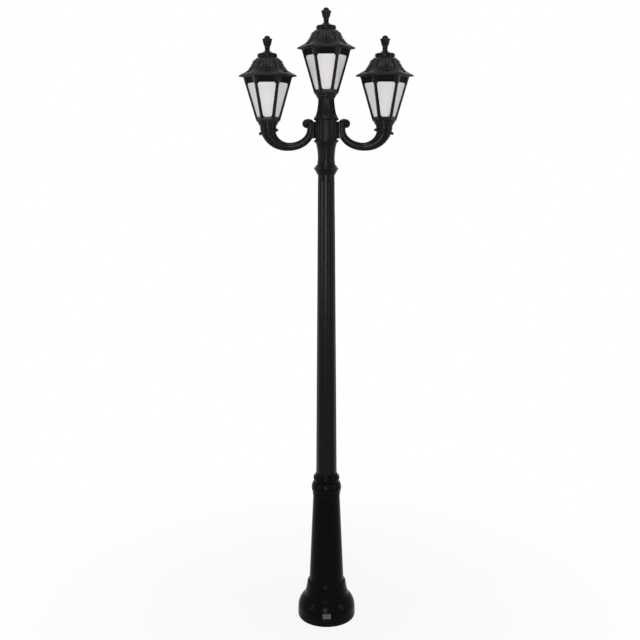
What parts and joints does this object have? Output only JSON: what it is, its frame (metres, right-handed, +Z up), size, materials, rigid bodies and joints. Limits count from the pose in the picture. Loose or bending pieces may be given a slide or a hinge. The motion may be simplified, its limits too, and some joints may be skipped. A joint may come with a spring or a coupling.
{
  "type": "lamp post",
  "caption": "Garden lamp post: fluted tapered pole on a bell foot, one six-sided opal lantern on top and others on scrolled arms; roofs lift off, finials and lamps unscrew.",
  "frame": {"origin": "on the ground at the middle of the foot, under the pole's axis", "axes": "+Z up the pole, +X towards the right arm as seen from the front, front towards -Y"},
  "size_m": [0.6486, 0.2332, 2.3864],
  "materials": {
    "black_resin": "satin black, finely mottled moulding skin",
    "opal_panes": "milky white, softly glossy",
    "galvanised_steel": "dull spangled zinc",
    "steel_screws": "bright zinc-plated",
    "black_rubber": "matt",
    "white_insulator": "dull off-white, heat-proof moulding",
    "lamp_cap": "rolled",
    "lamp_glass": "pearl glass",
    "lead_sheath": "smooth sheath",
    "bare_plate": "dull, bare, fine brushed"
  },
  "bodies": {
    "post": {"anchor_plate": "galvanised_steel", "cable_grommet": "black_rubber", "core_tube": "galvanised_steel", "pedestal": "black_resin", "blank_plate": "bare_plate", "base_collar": "black_resin", "collar_screws": "steel_screws", "shaft": "black_resin", "shaft_collar": "black_resin", "hub_socket": "black_resin", "hub_screws": "steel_screws", "hub_studs": "steel_screws", "hub_drum": "black_resin", "hub_neck": "black_resin", "arm_right": "black_resin", "arm_left": "black_resin", "arm_bolts": "steel_screws", "terminal_block": "white_insulator", "lead_right": "lead_sheath", "lead_left": "lead_sheath", "lead_centre": "lead_sheath", "cup_left": "black_resin", "cup_screws_left": "steel_screws", "cage_left": "black_resin", "panes_left": "opal_panes", "gasket_left": "black_rubber", "lampholder_left": "white_insulator", "holder_nut_left": "steel_screws", "cup_centre": "black_resin", "cup_screws_centre": "steel_screws", "cage_centre": "black_resin", "panes_centre": "opal_panes", "gasket_centre": "black_rubber", "lampholder_centre": "white_insulator", "holder_nut_centre": "steel_screws", "cup_right": "black_resin", "cup_screws_right": "steel_screws", "cage_right": "black_resin", "panes_right": "opal_panes", "gasket_right": "black_rubber", "lampholder_right": "white_insulator", "holder_nut_right": "steel_screws"},
    "roof_left": {"roof_left": "black_resin", "crown_left": "black_resin"},
    "finial_left": {"finial_left": "black_resin"},
    "bulb_left": {"bulb_cap_left": "lamp_cap", "bulb_globe_left": "lamp_glass"},
    "roof_centre": {"roof_centre": "black_resin", "crown_centre": "black_resin"},
    "finial_centre": {"finial_centre": "black_resin"},
    "bulb_centre": {"bulb_cap_centre": "lamp_cap", "bulb_globe_centre": "lamp_glass"},
    "roof_right": {"roof_right": "black_resin", "crown_right": "black_resin"},
    "finial_right": {"finial_right": "black_resin"},
    "bulb_right": {"bulb_cap_right": "lamp_cap", "bulb_globe_right": "lamp_glass"}
  },
  "joints": [
    {"name": "roof_lift_left", "type": "slide", "parent": "post", "child": "roof_left", "axis": [0, 0, 1], "range_m": [0, 0.2]},
    {"name": "finial_turn_left", "type": "hinge", "parent": "roof_left", "child": "finial_left", "pos_m": [-0.217, 0, 2.2284], "axis": [0, 0, 1], "continuous": true},
    {"name": "bulb_turn_left", "type": "hinge", "parent": "post", "child": "bulb_left", "pos_m": [-0.217, 0, 2.0043], "axis": [0, 0, 1], "continuous": true},
    {"name": "roof_lift_centre", "type": "slide", "parent": "post", "child": "roof_centre", "axis": [0, 0, 1], "range_m": [0, 0.2]},
    {"name": "finial_turn_centre", "type": "hinge", "parent": "roof_centre", "child": "finial_centre", "pos_m": [0, 0, 2.3274], "axis": [0, 0, 1], "continuous": true},
    {"name": "bulb_turn_centre", "type": "hinge", "parent": "post", "child": "bulb_centre", "pos_m": [0, 0, 2.1033], "axis": [0, 0, 1], "continuous": true},
    {"name": "roof_lift_right", "type": "slide", "parent": "post", "child": "roof_right", "axis": [0, 0, 1], "range_m": [0, 0.2]},
    {"name": "finial_turn_right", "type": "hinge", "parent": "roof_right", "child": "finial_right", "pos_m": [0.217, 0, 2.2284], "axis": [0, 0, 1], "continuous": true},
    {"name": "bulb_turn_right", "type": "hinge", "parent": "post", "child": "bulb_right", "pos_m": [0.217, 0, 2.0043], "axis": [0, 0, 1], "continuous": true}
  ]
}
